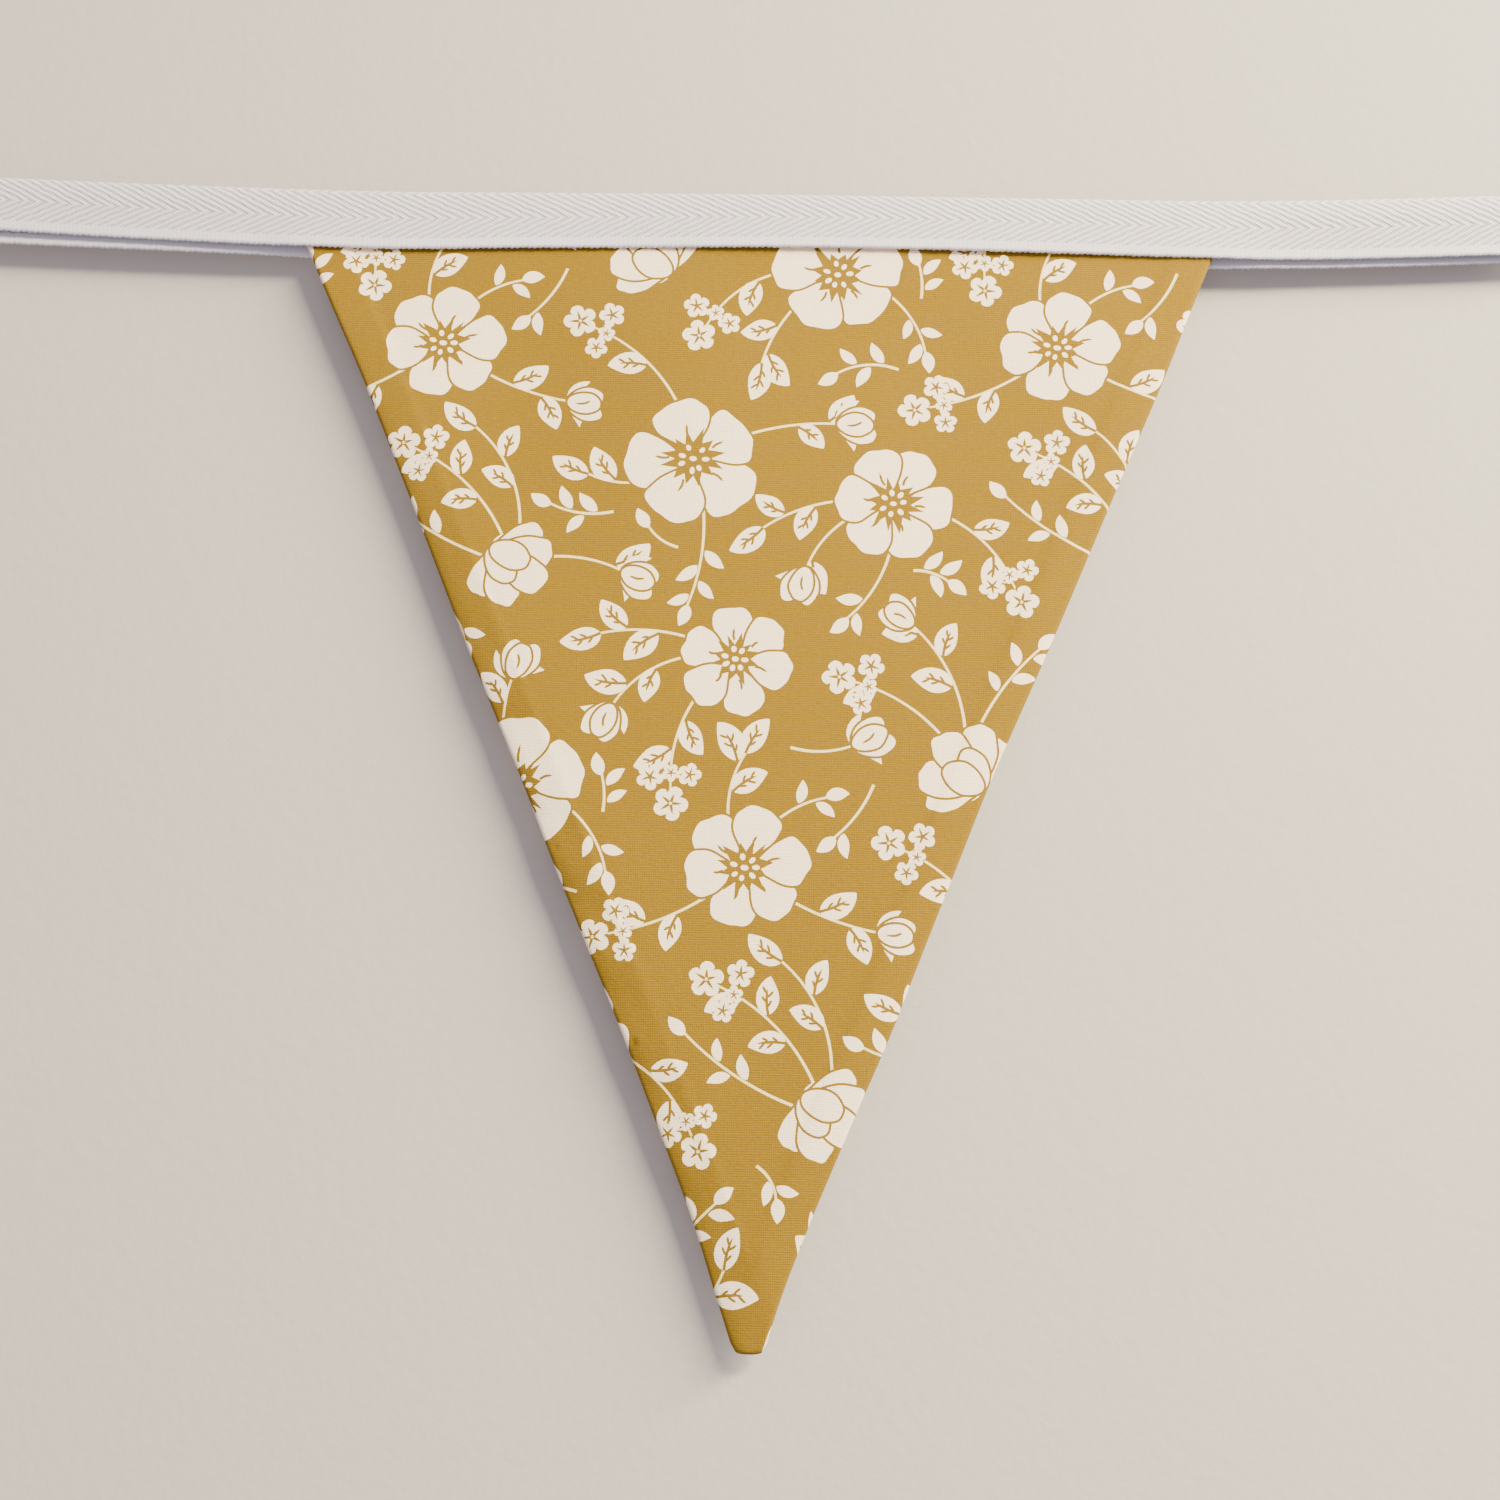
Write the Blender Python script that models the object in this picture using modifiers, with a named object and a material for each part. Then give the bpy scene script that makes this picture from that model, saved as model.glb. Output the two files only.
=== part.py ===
"""One pennant of fabric bunting: two cotton panels sewn and turned through, hanging from a length
of herringbone tape that is folded over their top edge.

The origin is on the tape's top edge, half way along. +X runs along the tape, +Z is up, and -Y is
the printed front. Sizes are metres.
"""

import math

import bmesh
import bpy

# Cloth
SHEET_THICKNESS = 0.0010
SHEET_GAP = 0.0003

# Tape, 25 mm wide before it is folded
TAPE_LENGTH = 0.300
TAPE_STEPS_ALONG = 50
TAPE_STEPS_ROUND = 12
FOLD_STEPS = 6

# Where the folded tape runs: the fold's height, and how far each leaf hangs below it.
#   along,   top,     front,  rear
TAPE_SECTIONS = (
    (-0.150, 0.0038, 0.0106, 0.0125),
    (-0.110, 0.0020, 0.0114, 0.0126),
    (-0.070, 0.0006, 0.0120, 0.0127),
    (-0.040, 0.0003, 0.0116, 0.0127),
    (0.000, 0.0000, 0.0112, 0.0126),
    (0.030, -0.0005, 0.0111, 0.0126),
    (0.060, -0.0010, 0.0115, 0.0127),
    (0.090, -0.0014, 0.0118, 0.0127),
    (0.120, -0.0009, 0.0117, 0.0126),
    (0.150, 0.0001, 0.0117, 0.0124),
)

# Pennant, measured down its own middle line
PENNANT_TOP = 0.0040
PENNANT_END = 0.2068
SIDES_MEET = 0.2082
SIDE_ANGLE = math.radians(22.95)
MIDDLE_OFFSET = 0.0023
TILT = math.radians(0.57)
PANEL_STEPS_ACROSS = 20
PANEL_STEPS_DOWN = 30

# How far the sewn sides are drawn in from a straight line. They stand out of it at the blunt tip.
#   depth,  left,    right
DRAWN_IN = (
    (0.000, -0.0007, 0.0000),
    (0.020, -0.0004, 0.0000),
    (0.036, 0.0001, -0.0003),
    (0.056, 0.0001, -0.0001),
    (0.087, -0.0002, 0.0001),
    (0.110, 0.0001, 0.0006),
    (0.125, -0.0001, 0.0003),
    (0.140, 0.0000, 0.0000),
    (0.154, 0.0001, -0.0004),
    (0.168, -0.0001, -0.0002),
    (0.182, -0.0004, -0.0001),
    (0.189, -0.0008, -0.0002),
    (0.196, -0.0015, -0.0004),
    (0.203, -0.0021, -0.0010),
    (0.2068, -0.0025, -0.0016),
)

# How far the middle of the cloth stands towards the wall.
#   depth,  back
BOW = (
    (0.000, 0.0000),
    (0.014, 0.0000),
    (0.050, -0.0006),
    (0.100, -0.0010),
    (0.145, -0.0006),
    (0.180, 0.0004),
    (0.2068, 0.0014),
)

# Soft upright folds: where they are, how wide and deep, and where they fade out. Depths towards
# the wall are positive.
#   across,  width,  depth,   fades
SOFT_FOLDS = (
    (-0.044, 0.014, 0.0006, 0.090),
    (-0.012, 0.013, -0.0004, 0.080),
    (0.034, 0.016, 0.0004, 0.110),
    (0.062, 0.012, -0.0003, 0.075),
)
FOLDS_START = 0.015
FOLDS_FULL = 0.035

# The sewn sides turn towards the wall.
LEFT_TURN = 0.0009
LEFT_TURN_WIDTH = 0.0100
RIGHT_TURN = 0.0004
RIGHT_TURN_WIDTH = 0.0060


def clear_scene():
    for old in list(bpy.data.objects):
        bpy.data.objects.remove(old, do_unlink=True)


def along(table, place, column):
    """A smooth curve through one column of a table whose first column is the place."""
    last = len(table) - 1
    row = 0
    while row < last - 1 and place > table[row + 1][0]:
        row += 1
    before = table[max(row - 1, 0)]
    start = table[row]
    end = table[row + 1]
    after = table[min(row + 2, last)]
    span = end[0] - start[0]
    t = min(max((place - start[0]) / span, 0.0), 1.0)
    slope_in = (end[column] - before[column]) / (end[0] - before[0]) * span
    slope_out = (after[column] - start[column]) / (after[0] - start[0]) * span
    rise = end[column] - start[column]
    curve = rise * t * t * (3 - 2 * t)
    curve += slope_in * t * (1 - t) ** 2
    curve -= slope_out * t * t * (1 - t)
    return start[column] + curve


def smooth_step(value, low, high):
    t = min(max((value - low) / (high - low), 0.0), 1.0)
    return t * t * (3 - 2 * t)


def half_width(depth):
    """Half the pennant's width before its sides are drawn in."""
    return (SIDES_MEET - depth) * math.tan(SIDE_ANGLE)


def fold_depth(across, depth):
    """How far the soft upright folds move the cloth towards the wall."""
    total = 0.0
    for middle, width, deep, fades in SOFT_FOLDS:
        hump = math.exp(-(((across - middle) / width) ** 2))
        total += deep * hump * (1 - smooth_step(depth, 0.4 * fades, fades))
    return total * smooth_step(depth, FOLDS_START, FOLDS_FULL)


def edge_turn(left_gap, right_gap, depth):
    """How far the sewn sides turn back, from the gap to each side."""
    left = LEFT_TURN * (1 - smooth_step(left_gap, 0.0, LEFT_TURN_WIDTH))
    right = RIGHT_TURN * (1 - smooth_step(right_gap, 0.0, RIGHT_TURN_WIDTH))
    return (left + right) * smooth_step(depth, FOLDS_START, 2 * FOLDS_FULL)


def pennant_point(share_across, share_down, offset):
    """A point of the pennant: share_across from -1 to 1, share_down from 0 to 1."""
    depth = PENNANT_TOP + (PENNANT_END - PENNANT_TOP) * share_down
    left = -half_width(depth) + along(DRAWN_IN, depth, 1)
    right = half_width(depth) - along(DRAWN_IN, depth, 2)
    across = left + (right - left) * (share_across + 1) / 2
    back = along(BOW, depth, 1) + fold_depth(across, depth)
    back += edge_turn(across - left, right - across, depth)
    x = MIDDLE_OFFSET + across * math.cos(TILT) - depth * math.sin(TILT)
    z = -depth * math.cos(TILT) - across * math.sin(TILT)
    return x, back + offset, z


def tape_point(share_along, share_round):
    """A point of the folded tape: share_round runs from the front edge over the fold to the rear."""
    x = share_along * TAPE_LENGTH / 2
    top = along(TAPE_SECTIONS, x, 1)
    radius = 1.5 * SHEET_THICKNESS + 1.5 * SHEET_GAP
    centre = top - radius - SHEET_THICKNESS / 2
    leaf_share = (TAPE_STEPS_ROUND - FOLD_STEPS) / (2 * TAPE_STEPS_ROUND)
    position = (share_round + 1) / 2
    if position <= leaf_share:
        low = top - along(TAPE_SECTIONS, x, 2)
        return x, -radius, low + (centre - low) * position / leaf_share
    if position >= 1 - leaf_share:
        low = top - along(TAPE_SECTIONS, x, 3)
        return x, radius, low + (centre - low) * (1 - position) / leaf_share
    turn = math.pi * (position - leaf_share) / (1 - 2 * leaf_share)
    return x, -radius * math.cos(turn), centre + radius * math.sin(turn)


def cloth_material(name, colour, roughness):
    material = bpy.data.materials.new(name)
    material.use_nodes = True
    shader = material.node_tree.nodes["Principled BSDF"]
    shader.inputs["Base Color"].default_value = (*colour, 1.0)
    shader.inputs["Roughness"].default_value = roughness
    shader.inputs["Metallic"].default_value = 0.0
    return material


def add_sheet(name, collection, steps, place, material):
    """A grid laid on the surface that place() gives, with a cloth's thickness."""
    bm = bmesh.new()
    bmesh.ops.create_grid(bm, x_segments=steps[0], y_segments=steps[1], size=1.0)
    for vert in bm.verts:
        vert.co = place(vert.co.x, vert.co.y)
    bmesh.ops.recalc_face_normals(bm, faces=bm.faces[:])
    mesh = bpy.data.meshes.new(name)
    bm.to_mesh(mesh)
    bm.free()
    mesh.shade_smooth()
    mesh.materials.append(material)
    sheet = bpy.data.objects.new(name, mesh)
    collection.objects.link(sheet)
    thicken = sheet.modifiers.new("cloth thickness", "SOLIDIFY")
    thicken.thickness = SHEET_THICKNESS
    thicken.offset = 0.0
    thicken.use_even_offset = True
    return sheet


def panel_place(offset):
    return lambda across, down: pennant_point(across, (1 - down) / 2, offset)


def build():
    clear_scene()
    collection = bpy.data.collections.new("fabric_bunting")
    bpy.context.scene.collection.children.link(collection)
    printed = cloth_material("printed cotton", (0.56, 0.35, 0.09), 0.85)
    lining_side = cloth_material("printed cotton, rear panel", (0.56, 0.35, 0.09), 0.85)
    twill = cloth_material("white cotton tape", (0.80, 0.78, 0.77), 0.80)
    panel_steps = (PANEL_STEPS_ACROSS, PANEL_STEPS_DOWN)
    panel_offset = (SHEET_THICKNESS + SHEET_GAP) / 2
    add_sheet("pennant_front", collection, panel_steps, panel_place(-panel_offset), printed)
    add_sheet("pennant_back", collection, panel_steps, panel_place(panel_offset), lining_side)
    tape_steps = (TAPE_STEPS_ALONG, TAPE_STEPS_ROUND)
    add_sheet("header_tape", collection, tape_steps, tape_point, twill)


build()
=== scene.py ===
# %% [markdown]
# # Fabric bunting: one printed pennant on a herringbone tape
#
# The real thing is a small cotton pennant. Two triangles of a floral print are sewn right sides
# together, turned through and pressed, and their open top edge is caught in a folded white
# herringbone tape that runs on to the next pennant. This lesson builds what the eye sees on the
# plain CAD solids: two thin printed panels whose sides roll over into a seam, the folded tape
# with its woven zones, and a print that is drawn motif by motif.
#
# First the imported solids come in. They set the size, and each visible piece below takes the
# place of one of them.

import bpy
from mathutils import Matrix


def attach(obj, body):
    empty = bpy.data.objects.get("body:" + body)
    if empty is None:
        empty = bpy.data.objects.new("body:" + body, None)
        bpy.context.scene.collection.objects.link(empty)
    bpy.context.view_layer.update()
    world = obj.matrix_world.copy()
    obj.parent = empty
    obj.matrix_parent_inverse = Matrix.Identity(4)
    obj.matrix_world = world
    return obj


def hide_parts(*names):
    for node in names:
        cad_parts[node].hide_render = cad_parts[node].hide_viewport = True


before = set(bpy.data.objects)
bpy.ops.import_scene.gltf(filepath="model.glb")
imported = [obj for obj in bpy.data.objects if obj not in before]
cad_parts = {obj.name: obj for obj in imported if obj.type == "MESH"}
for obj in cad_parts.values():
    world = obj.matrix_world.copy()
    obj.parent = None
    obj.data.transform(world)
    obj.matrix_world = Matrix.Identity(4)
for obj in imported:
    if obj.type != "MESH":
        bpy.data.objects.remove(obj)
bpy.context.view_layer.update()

# %% [markdown]
# All the tables below are in millimetres, because a maker would read them off a tape measure,
# and one factor turns them into Blender's metres. A drawn table is only a few rows, so a smooth
# curve is run through its rows. This one is a cubic that keeps its slope from row to row.

# %% Sizes and small helpers
import math
import random

import bmesh
import bpy
from mathutils import Vector
from mathutils.geometry import delaunay_2d_cdt

MM = 0.001


def smooth_step(value, low, high):
    t = min(max((value - low) / (high - low), 0.0), 1.0)
    return t * t * (3 - 2 * t)


def along(table, place, column):
    """A smooth curve through one column of a table whose first column is the place."""
    last = len(table) - 1
    row = 0
    while row < last - 1 and place > table[row + 1][0]:
        row += 1
    before, start, end = table[max(row - 1, 0)], table[row], table[row + 1]
    after = table[min(row + 2, last)]
    span = end[0] - start[0]
    t = min(max((place - start[0]) / span, 0.0), 1.0)
    slope_in = (end[column] - before[column]) / (end[0] - before[0]) * span
    slope_out = (after[column] - start[column]) / (after[0] - start[0]) * span
    curve = (end[column] - start[column]) * t * t * (3 - 2 * t)
    curve += slope_in * t * (1 - t) ** 2 - slope_out * t * t * (1 - t)
    return start[column] + curve


def curve_through(points, steps, closed=False):
    """A smooth line through the points, with this many steps from each one to the next."""
    count = len(points)
    spans = count if closed else count - 1
    line = []
    for i in range(spans):
        if closed:
            p = [points[(i + k) % count] for k in (-1, 0, 1, 2)]
        else:
            p = [points[min(max(i + k, 0), count - 1)] for k in (-1, 0, 1, 2)]
        for step in range(steps):
            t = step / steps
            line.append(
                tuple(
                    0.5
                    * (
                        2 * b
                        + (c - a) * t
                        + (2 * a - 5 * b + 4 * c - d) * t * t
                        + (3 * b - a - 3 * c + d) * t**3
                    )
                    for a, b, c, d in zip(*p)
                )
            )
    if not closed:
        line.append(tuple(points[-1]))
    return line


# %% [markdown]
# ## How the pennant hangs
#
# The cloth is measured in the pennant's own directions: `across` from its middle line, and
# `down` from the tape's fold. The pennant is an isosceles triangle with a blunt tip, turned a
# little out of true. Its sides aren't ruled lines: sewing has drawn them in here and there.
# It hangs almost flat, so shallow waves, given in tables, do more for it than a simulation would:
# a slow bow, a few upright folds that start under the tape and die out lower down, sides that
# turn towards the wall, and small puckers along the left seam.

# %% The pennant's outline and its hang
MIDDLE_OFFSET = 2.3
TILT = math.radians(0.57)
PENNANT_TOP = 4.0
PENNANT_END = 207.2
SIDES_MEET = 208.2
SIDE_ANGLE = math.radians(22.95)
TIP_ROUNDING = 0.65

#   down, left, right: how far the sides are drawn in
DRAWN_IN = (
    (0, -0.7, 0.0),
    (20, -0.4, 0.0),
    (36, 0.1, -0.3),
    (56, 0.1, -0.1),
    (87, -0.2, 0.1),
    (110, 0.1, 0.6),
    (125, -0.1, 0.3),
    (140, 0.0, 0.0),
    (154, 0.1, -0.4),
    (168, -0.1, -0.2),
    (182, -0.4, -0.1),
    (189, -0.8, -0.2),
    (196, -1.5, -0.4),
    (203, -2.1, -1.0),
    (206.8, -2.5, -1.6),
)
#   down, back: how far the middle stands towards the wall
BOW = (
    (0, 0.0),
    (14, 0.0),
    (50, -0.6),
    (100, -1.0),
    (145, -0.6),
    (180, 0.4),
    (206.8, 1.4),
)
#   across, width, depth, fades: soft upright folds, troughs positive
SOFT_FOLDS = (
    (-44, 14, 0.6, 90),
    (-12, 13, -0.4, 80),
    (34, 16, 0.4, 110),
    (62, 12, -0.3, 75),
)
#   down, reach, depth: puckers that run in from the left seam
LEFT_PUCKERS = (
    (84, 8, 0.16),
    (92, 6, -0.12),
    (99, 9, 0.14),
    (107, 6, -0.12),
    (116, 8, 0.18),
    (124, 7, -0.14),
    (131, 9, 0.20),
    (139, 6, -0.14),
    (147, 8, 0.18),
    (155, 7, -0.16),
    (163, 7, 0.16),
    (172, 5, -0.12),
    (181, 5, 0.12),
)


def half_width(down):
    return (SIDES_MEET - down) * math.tan(SIDE_ANGLE)


def side_gaps(across, down):
    """How far a point of the pennant is from its left side, its right side and its end."""
    left = across + half_width(down) - along(DRAWN_IN, down, 1)
    right = half_width(down) - along(DRAWN_IN, down, 2) - across
    return left * math.cos(SIDE_ANGLE), right * math.cos(SIDE_ANGLE), PENNANT_END - down


def edge_gap(across, down):
    """The nearest of those gaps, blended so that the tip's corners are rounded."""
    nearest = min(side_gaps(across, down))
    parts = (math.exp((nearest - gap) / TIP_ROUNDING) for gap in side_gaps(across, down))
    return nearest - TIP_ROUNDING * math.log(sum(parts))


def inward(across, down):
    """The direction that leads away from the nearest edge."""
    h = 0.02
    slope = Vector(
        (
            edge_gap(across + h, down) - edge_gap(across - h, down),
            edge_gap(across, down + h) - edge_gap(across, down - h),
        )
    )
    return slope.normalized()


def hang(across, down):
    """How far the middle of the two panels stands towards the wall."""
    left, right, _ = side_gaps(across, down)
    starts = smooth_step(down, 15, 35)
    back = along(BOW, down, 1)
    for middle, width, depth, fades in SOFT_FOLDS:
        hump = math.exp(-(((across - middle) / width) ** 2))
        back += depth * hump * starts * (1 - smooth_step(down, 0.4 * fades, fades))
    turned = 0.9 * (1 - smooth_step(left, 0, 9.2)) + 0.4 * (1 - smooth_step(right, 0, 5.5))
    turned += 0.35 * (1 - smooth_step(left, 0, 2.4))
    back += turned * smooth_step(down, 15, 70)
    for place, reach, depth in LEFT_PUCKERS:
        slant = down - place - 0.35 * left
        back += depth * math.exp(-((slant / 2.6) ** 2)) * (1 - smooth_step(left, 0.4, reach))
    return back


print("width at the tape:", round(2 * half_width(12), 1), "mm")

# %% [markdown]
# ## The print
#
# The cloth is printed with white flowers, buds and leaves on mustard, with creamy stems. It could
# be painted as an image, but drawing it as flat shapes keeps every edge crisp at any distance.
# This print is a new one, of the same kind, colours and scale as the real cloth's. Each motif
# below is a small drawing function: it adds closed outlines to a list, in painting order, and
# each outline says which ink fills it. A thin mustard outline under a white one leaves the fine
# line that parts two petals.

# %% Inks, strokes and loops
MUSTARD, WHITE, CREAM = 0.0, 1.0, 0.5
drawn = []
hand = random.Random(7)


def fill(ink, outline):
    drawn.append((ink, [tuple(point[:2]) for point in outline]))


def ray(start, angle, length):
    """The point this far from start, at an angle seen with up the cloth as 90 degrees."""
    turn = math.radians(angle)
    return start[0] + length * math.cos(turn), start[1] - length * math.sin(turn)


def ribbon(line, widths):
    """An outline round a line, with a width at each of its points."""
    left, right = [], []
    for i, point in enumerate(line):
        before, after = line[max(i - 1, 0)], line[min(i + 1, len(line) - 1)]
        along_x, along_y = after[0] - before[0], after[1] - before[1]
        length = math.hypot(along_x, along_y) or 1.0
        half = widths[i] / 2
        left.append((point[0] - along_y / length * half, point[1] + along_x / length * half))
        right.append((point[0] + along_y / length * half, point[1] - along_x / length * half))
    return left + right[::-1]


def stroke(ink, points, width, steps, start, end):
    """A pen stroke that swells in the middle. start and end are shares of its width."""
    line = curve_through(points, steps)
    last = len(line) - 1
    widths = []
    for i in range(len(line)):
        t = i / last
        swell = min(1.0, start + 4 * t, end + 3.2 * (1 - t))
        widths.append(width * swell)
    fill(ink, ribbon(line, widths))


def grown(outline, by):
    """The outline moved outwards."""
    area = sum(a[0] * b[1] - b[0] * a[1] for a, b in zip(outline, outline[1:] + outline[:1]))
    by = by if area > 0 else -by
    moved = []
    for i, point in enumerate(outline):
        before, after = outline[i - 1], outline[(i + 1) % len(outline)]
        along_x, along_y = after[0] - before[0], after[1] - before[1]
        length = math.hypot(along_x, along_y) or 1.0
        moved.append((point[0] + along_y / length * by, point[1] - along_x / length * by))
    return moved


def placed(shape, start, angle, length, width):
    """A small drawing in shares of length and width, laid at an angle from start."""
    turn = math.radians(angle)
    cos, sin = math.cos(turn), math.sin(turn)
    return [
        (
            start[0] + cos * u * length - sin * v * width,
            start[1] - sin * u * length - cos * v * width,
        )
        for u, v in shape
    ]


# %% [markdown]
# A leaf is an almond with a rounded foot, a sharp tip and a bent middle line. Its veins are cuts
# in the mustard of the ground: a midrib two thirds long and a few short side veins. The little
# leaflets of the sprigs have none. A floret is five lobes with a mustard star.

# %% Leaves, stems and florets
LEAF_STEPS = (0.0, 0.03, 0.09, 0.18, 0.3, 0.42, 0.55, 0.68, 0.8, 0.9, 0.96, 1.0)


def leaf_axis(leaf, t):
    """The point of a leaf's middle line at t, and the direction across it."""
    x0, y0, x1, y1, _, bend = leaf
    along_x, along_y = x1 - x0, y1 - y0
    length = math.hypot(along_x, along_y)
    side = (along_y / length, -along_x / length)
    lift = 4 * bend * length * t * (1 - t)
    slope = 4 * bend * (1 - 2 * t)
    point = (x0 + along_x * t + side[0] * lift, y0 + along_y * t + side[1] * lift)
    across = (
        side[0] - slope * along_x / length,
        side[1] - slope * along_y / length,
    )
    size = math.hypot(*across)
    return point, (across[0] / size, across[1] / size)


def leaf_half(leaf, t, foot=0.62, tip=0.85):
    fullest = foot / (foot + tip)
    return leaf[4] / 2 * (t / fullest) ** foot * ((1 - t) / (1 - fullest)) ** tip


def draw_leaf(leaf, veins=True):
    fuller = hand.uniform(-0.09, 0.09)
    left, right = [], []
    for t in LEAF_STEPS:
        point, across = leaf_axis(leaf, t)
        half = leaf_half(leaf, t) if veins else leaf_half(leaf, t, 0.8, 1.0)
        for side, edge in ((1 + fuller, left), (fuller - 1, right)):
            edge.append((point[0] + across[0] * half * side, point[1] + across[1] * half * side))
    fill(WHITE, left + right[-2:0:-1])
    if not veins:
        return
    length = math.hypot(leaf[2] - leaf[0], leaf[3] - leaf[1])
    ends = hand.uniform(0.66, 0.76)
    rib = [leaf_axis(leaf, ends * k / 5)[0] for k in range(6)]
    stroke(MUSTARD, rib, 0.5, steps=2, start=1.0, end=0.16)
    first = hand.choice((1, -1))
    for k, t in enumerate((0.2, 0.33, 0.45, 0.56)[: 4 if length > 6.4 else 3]):
        side = first if k % 2 == 0 else -first
        foot, across = leaf_axis(leaf, t)
        tip, _ = leaf_axis(leaf, t + 0.17)
        reach = leaf_half(leaf, t) * hand.uniform(0.42, 0.56) * side
        end = (tip[0] + across[0] * reach, tip[1] + across[1] * reach)
        middle = (
            0.55 * foot[0] + 0.45 * end[0] + across[0] * reach * 0.12,
            0.55 * foot[1] + 0.45 * end[1] + across[1] * reach * 0.12,
        )
        stroke(MUSTARD, [foot, middle, end], 0.42, steps=2, start=1.0, end=0.2)


def draw_stem(width, points):
    line = curve_through(points, 3)
    last = len(line) - 1
    fill(CREAM, ribbon(line, [width * (1.0 - 0.25 * i / last) for i in range(len(line))]))


def draw_floret(x, y, radius):
    turn = hand.uniform(0, 72)
    lobes = []
    for k in range(50):
        angle = 7.2 * k
        reach = radius * (0.68 + 0.32 * abs(math.cos(math.radians(2.5 * angle))) ** 0.7)
        lobes.append(ray((x, y), angle + turn, reach * hand.uniform(0.985, 1.015)))
    fill(WHITE, lobes)
    for k in range(5):
        spoke = turn + 72 * k + hand.uniform(-6, 6)
        tip = ray((x, y), spoke, radius * hand.uniform(0.55, 0.68))
        stroke(MUSTARD, [(x, y), tip], 0.16 * radius, steps=2, start=1.0, end=0.15)
        notch = ray((x, y), spoke + 36, radius * 0.62)
        outside = ray((x, y), spoke + 36, radius * 0.9)
        stroke(MUSTARD, [outside, notch], 0.1 * radius, steps=2, start=1.0, end=0.15)
    fill(MUSTARD, [ray((x, y), 45 * k, 0.17 * radius) for k in range(8)])
    if radius > 2.5:
        fill(CREAM, [ray((x, y), 45 * k, 0.1 * radius) for k in range(8)])


# %% [markdown]
# A petal starts narrow at the heart of the flower and ends in a broad round edge, a little
# different each time. Petals that are seen from the side are plain ovals. They are laid from the
# back to the front. The heart is an open mustard star whose darts run out along the petals. White
# stamens stand round it, and one in its middle.

# %% Petals and hearts
PETAL = (
    (0.10, 0.0),
    (0.30, 0.27),
    (0.55, 0.46),
    (0.80, 0.48),
    (0.96, 0.28),
    (1.00, 0.0),
    (0.95, -0.27),
    (0.79, -0.48),
    (0.55, -0.45),
    (0.30, -0.26),
)
OVAL = (
    (0.0, 0.0),
    (0.10, 0.27),
    (0.38, 0.47),
    (0.70, 0.46),
    (0.94, 0.24),
    (1.0, 0.0),
    (0.92, -0.25),
    (0.66, -0.48),
    (0.34, -0.45),
    (0.09, -0.25),
)
SHAPES = {"petal": PETAL, "oval": OVAL}
PETAL_LINE = 0.42
HEART_DARTS = 12
STAMENS = 7


def scalloped(loop, by):
    """The loop with a shallow hand-cut wave along the half that is away from its foot."""
    start = hand.uniform(0, 6)
    waved = []
    for i, (inner, outer) in enumerate(zip(loop, grown(loop, by))):
        share = math.sin(math.pi * i / len(loop)) ** 2
        wave = share * (math.sin(0.62 * i + start) + 0.6 * math.sin(1.13 * i + 2 * start))
        waved.append(tuple(a + (b - a) * wave for a, b in zip(inner, outer)))
    return waved


def draw_petal(x, y, angle, length, width, kind="petal"):
    shape = [
        (u * hand.uniform(0.98, 1.02), v + hand.uniform(-0.02, 0.02)) for u, v in SHAPES[kind]
    ]
    loop = curve_through(placed(shape, (x, y), angle, length, width), 4, closed=True)
    if kind == "petal":
        loop = scalloped(loop, 0.016 * length)
    fill(MUSTARD, grown(loop, PETAL_LINE))
    fill(WHITE, loop)
    if kind == "petal" and length > 7.5:
        turn = angle + hand.uniform(-9, 9)
        reach = hand.uniform(0.46, 0.58) * length
        line = [ray((x, y), turn, 0.3 * length), ray((x, y), turn + 3, 0.4 * length)]
        stroke(MUSTARD, line + [ray((x, y), turn, reach)], 0.46, steps=2, start=1.0, end=0.14)


def draw_heart(x, y, radius):
    star = []
    for k in range(2 * HEART_DARTS):
        turn = 180 * k / HEART_DARTS + hand.uniform(-5, 5)
        reach = radius * (hand.uniform(1.3, 1.9) if k % 2 else hand.uniform(0.9, 1.0))
        star.append(ray((x, y), -turn, reach))
    fill(MUSTARD, star)
    for k in range(STAMENS + 1):
        turn = 360 * k / STAMENS + hand.uniform(-10, 10)
        reach = radius * hand.uniform(0.58, 0.68) if k < STAMENS else 0.0
        spot = ray((x, y), turn, reach)
        long, short = hand.uniform(0.56, 0.72), hand.uniform(0.42, 0.5)
        oval = [ray((0, 0), 36 * j, 1.0) for j in range(10)]
        fill(WHITE, placed(oval, spot, turn, long, short))


# %% [markdown]
# Flowers and buds are put together from petals by rule. An open flower has five or six petals
# round a heart. A flower seen from the side is a fan of petals behind two short ones. A bud is
# three petals that wrap each other. Both of those sit in a pair of small plain leaves.

# %% Flowers and buds
FIVE_PETALS_ABOVE = 10.6
#   turn, length, width: the back petals of a flower seen from the side, outermost first
FAN_PETALS = (
    (-62, 0.92, 0.5),
    (60, 0.96, 0.5),
    (-34, 1.12, 0.6),
    (33, 1.1, 0.6),
    (0, 1.2, 0.62),
)
#   turn, length, width: the petals of a bud
BUD_PETALS = (
    (-17, 1.05, 0.62),
    (18, 1.0, 0.62),
    (2, 0.92, 0.6),
)


def open_flower(x, y, facing, size):
    count = 5 if size > FIVE_PETALS_ABOVE else 6
    order = list(range(count))
    hand.shuffle(order)
    for k in order:
        turn = facing + 360 * k / count + hand.uniform(-5, 5)
        length = size * hand.uniform(0.90, 1.04)
        width = size * (4.75 / count + hand.uniform(-0.04, 0.04))
        draw_petal(*ray((x, y), turn, 0.9), turn, length, width)
    draw_heart(x, y, 0.3 * size)


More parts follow.
